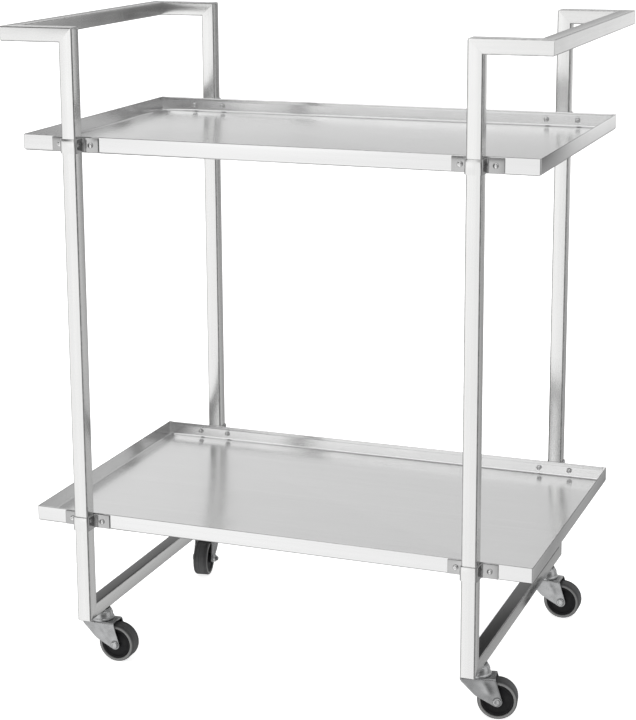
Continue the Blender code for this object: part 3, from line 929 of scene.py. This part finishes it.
def tyre_profile(sizes):
    """Radii and heights of a flat side, a rounded shoulder and the groove beside it."""
    radius = sizes["radius"]
    half = sizes["half_width"]
    hub = sizes["hub_radius"]
    shoulder = half - TYRE_SHOULDER
    grooved = radius - TYRE_GROOVE
    profile = [(hub + GAP, half - 0.0008), (hub + 0.0006, half - 0.0002), (hub + 0.0012, half)]
    profile += [(radius - TYRE_SHOULDER - 0.0006, half)]
    profile += arc((radius - TYRE_SHOULDER, shoulder), TYRE_SHOULDER, 80, 4, 8)
    profile += [(radius, shoulder - 0.0004), (radius, shoulder - 0.0010), (grooved, shoulder - 0.0013)]
    profile += [(grooved, shoulder - 0.0017), (radius, shoulder - 0.0020)]
    return both_sides(profile)


def hub_profile(sizes):
    """Radii and heights of a raised boss round the bore, a sunken web and a rim under the tyre."""
    hub = sizes["hub_radius"]
    boss = sizes["boss"]
    rim = sizes["half_width"] - HUB_RIM_STEP
    web = rim - HUB_WEB_STEP
    profile = [(HUB_BORE, boss), (HUB_BORE + 0.0026, boss), (HUB_BORE + 0.003, boss - 0.0004)]
    profile += [(HUB_BORE + 0.0034, web + 0.0003), (HUB_BORE + 0.0042, web), (hub - 0.0040, web)]
    profile += [(hub - 0.0034, web + 0.0003), (hub - 0.0028, rim - 0.0003), (hub - 0.0022, rim)]
    profile += [(hub - 0.0005, rim), (hub, rim - 0.0004)]
    return both_sides(profile)


def bolt_profile(sizes):
    """A dished head, the shank, a hexagon nut and the threads past it, along the axle."""
    low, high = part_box("front_left_caster_axle")
    centre_y = joint("front_left_roll")["pos_m"][1]
    near = low.y - centre_y
    far = high.y - centre_y
    seat = sizes["leg_outer"] + GAP
    head = (high.z - low.z) / 2
    nut_top = far - BOLT_NUT_HEIGHT
    profile = [(0.30 * head, near + 0.0007), (0.42 * head, near + 0.0006), (0.50 * head, near + 0.0001)]
    profile += [(0.62 * head, near), (0.80 * head, near + 0.0003), (0.96 * head, near + 0.0011)]
    profile += [(head, near + 0.0017), (head, -seat), (BOLT_SHANK, -seat), (BOLT_SHANK, seat)]
    profile += [(head, seat, 6), (head, nut_top - 0.0006, 6)]
    profile += [(0.9 * head, nut_top), (0.9 * BOLT_SHANK, nut_top)]
    pitch = (far - nut_top - 0.0004) / BOLT_THREADS
    for i in range(BOLT_THREADS):
        profile.append((0.97 * BOLT_SHANK, nut_top + pitch * (i + 0.35)))
        profile.append((0.84 * BOLT_SHANK, nut_top + pitch * (i + 0.85)))
    profile.append((0.8 * BOLT_SHANK, far))
    return profile


def add_wheel(place_name, sizes, rubber, plastic, steel):
    """Tyre, hub and axle bolt, each turned about the axle."""
    place = wheel_frame(place_name)
    wheel = f"{place_name}_wheel"
    tyre = add_mesh(f"{place_name}_tyre", turned(tyre_profile(sizes), TYRE_SEGMENTS, bored=True))
    finish_piece(tyre, wheel, rubber, [f"{place_name}_wheel_tyre"], place, smooth=30)
    hub = add_mesh(f"{place_name}_hub", turned(hub_profile(sizes), HUB_SEGMENTS, bored=True))
    finish_piece(hub, wheel, plastic, [f"{place_name}_wheel_hub"], place, smooth=30)
    bolt = add_mesh(f"{place_name}_axle_bolt", turned(bolt_profile(sizes), BOLT_SEGMENTS))
    fork = f"{place_name}_fork"
    finish_piece(bolt, fork, steel, [f"{place_name}_caster_axle"], place, smooth=30)


# Studio


def add_floor():
    """A plain pale floor that mirrors don't see."""
    bm = bmesh.new()
    corners = ((-1, -1), (1, -1), (1, 1), (-1, 1))
    bm.faces.new([bm.verts.new((x * FLOOR_REACH, y * FLOOR_REACH, 0.0)) for x, y in corners])
    floor = add_mesh("floor", bm)
    floor.visible_glossy = False
    made, tree = new_material("pale_floor")
    sockets = {"Base Color": (0.80, 0.80, 0.80, 1), "Roughness": 0.9, "Specular IOR Level": 0.1}
    sockets.update({"Emission Color": (1, 1, 1, 1), "Emission Strength": 0.80})
    close_material(tree, sockets)
    floor.data.materials.append(made)


def studio_ramp(tree, turn, stops):
    """Brightness round the horizon, from (degrees, brightness) stops."""
    ramp = tree.add("ValToRGB", {0: turn})
    ramp.color_ramp.interpolation = "EASE"
    points = ramp.color_ramp.elements
    while len(points) < len(stops):
        points.new(0.5)
    for point, (degrees, level) in zip(points, stops):
        point.position = (degrees + 180) / 360
        point.color = (level, level, level, 1)
    return ramp.outputs[0]


def add_studio():
    """Soft bright and dark panels all round the trolley, and plain white behind it for the camera."""
    world = bpy.data.worlds.new("studio")
    bpy.context.scene.world = world
    world.use_nodes = True
    tree = Tree(world.node_tree)
    direction = tree.add("TexCoord").outputs["Generated"]
    x, y, z = tree.add("SeparateXYZ", {0: direction}).outputs
    turn = tree.math("ARCTAN2", x, y)
    turn = tree.remap(turn, -math.pi, math.pi, 0.0, 1.0)
    height = tree.math("MULTIPLY", tree.math("ARCSINE", z), 180 / math.pi)
    low = studio_ramp(tree, turn, STUDIO_LOW)
    level = studio_ramp(tree, turn, STUDIO_LEVEL)
    high = studio_ramp(tree, turn, STUDIO_HIGH)
    seen = tree.mix(tree.remap(height, *LOW_TO_LEVEL, 0.0, 1.0, smooth=True), low, level)
    seen = tree.mix(tree.remap(height, *LEVEL_TO_HIGH, 0.0, 1.0, smooth=True), seen, high)
    overhead = (STUDIO_OVERHEAD,) * 3
    seen = tree.mix(tree.remap(height, *HIGH_TO_OVERHEAD, 0.0, 1.0, smooth=True), seen, overhead)
    backdrop = tree.add("LightPath").outputs["Is Camera Ray"]
    seen = tree.mix(backdrop, seen, (1.0, 1.0, 1.0))
    shine = tree.add("Background", {"Color": seen, "Strength": 1.0})
    tree.add("OutputWorld", {"Surface": shine.outputs[0]})


def add_softbox():
    """One broad light from above the front, which mirrors don't see."""
    data = bpy.data.lights.new("overhead_softbox", "AREA")
    data.shape = "RECTANGLE"
    data.size, data.size_y = SOFTBOX_SIZE
    data.energy = SOFTBOX_POWER
    light = bpy.data.objects.new("overhead_softbox", data)
    bpy.context.scene.collection.objects.link(light)
    light.location = SOFTBOX_PLACE
    aim = Vector(SOFTBOX_TARGET) - Vector(SOFTBOX_PLACE)
    light.rotation_euler = aim.to_track_quat("-Z", "Y").to_euler()
    light.visible_glossy = False


def add_camera():
    yaw, pitch, roll = (math.radians(angle) for angle in (CAMERA_YAW, CAMERA_PITCH, CAMERA_ROLL))
    data = bpy.data.cameras.new("camera")
    data.sensor_width = 36.0
    data.lens = CAMERA_LENS
    data.shift_x, data.shift_y = CAMERA_SHIFT
    data.clip_end = 200.0
    camera = bpy.data.objects.new("camera", data)
    bpy.context.scene.collection.objects.link(camera)
    turn = Matrix.Rotation(yaw, 4, "Z") @ Matrix.Rotation(math.radians(90) + pitch, 4, "X")
    camera.matrix_world = Matrix.Translation(CAMERA_PLACE) @ turn @ Matrix.Rotation(roll, 4, "Z")
    bpy.context.scene.camera = camera


def add_materials(sizes):
    """Every material by a short name."""
    made = {}
    for axis in AXES:
        made[f"tube_{axis}"] = brushed_steel(f"tube_steel_{axis}", axis, (0.81, 0.81, 0.805), 0.18)
    made["weld"] = brushed_steel("weld_steel", "z", (0.80, 0.80, 0.795), 0.19)
    made["rim"] = brushed_steel("sheet_steel", "x", (0.82, 0.82, 0.82), 0.12, 0.03, 0.25, 0.9)
    made["deck"] = brushed_steel("deck_steel", "x", (0.82, 0.82, 0.82), 0.21, 0.03, 0.5)
    # Painted shade: a darker steel for the clips' flanges.
    made["strap"] = brushed_steel("painted_shade_strap_steel", "x", (0.52, 0.52, 0.52), 0.18, 0.06)
    # Painted shade on the tops of the bottom rails.
    made["rail_top"] = brushed_steel("rail_top_steel", "y", (0.13, 0.13, 0.13), 0.30, 0.08)
    made["screw"] = plated_steel("bright_screw", (0.84, 0.84, 0.84), 0.08, 0.10)
    made["zinc"] = plated_steel("zinc_plate", (0.48, 0.485, 0.49), 0.26, 0.24)
    made["bright_zinc"] = plated_steel("bright_zinc", (0.58, 0.585, 0.59), 0.20, 0.15)
    made["rubber"] = tyre_rubber("grey_rubber", sizes["radius"], sizes["half_width"])
    made["plastic"] = moulded_plastic("black_plastic")
    return made


def add_trolley():
    sizes = caster_sizes()
    made = add_materials(sizes)
    for side_name, side in SIDES.items():
        add_end_frame(side_name, side, made)
    for tier in ("upper", "lower"):
        add_tray(tier, made["rim"], made["deck"])
        for side_name in SIDES:
            for face_name, face in FACES.items():
                add_clip(f"{tier}_{side_name}_{face_name}_clip", face, made["strap"], made["tube_z"])
    add_screws(made["screw"])
    for place_name in CASTERS:
        add_fork(place_name, sizes, made["zinc"])
        add_head(place_name, sizes, made["bright_zinc"])
        add_wheel(place_name, sizes, made["rubber"], made["plastic"], made["bright_zinc"])


add_camera()
add_studio()
add_floor()
add_softbox()
bpy.context.scene.view_settings.view_transform = "Standard"
add_trolley()
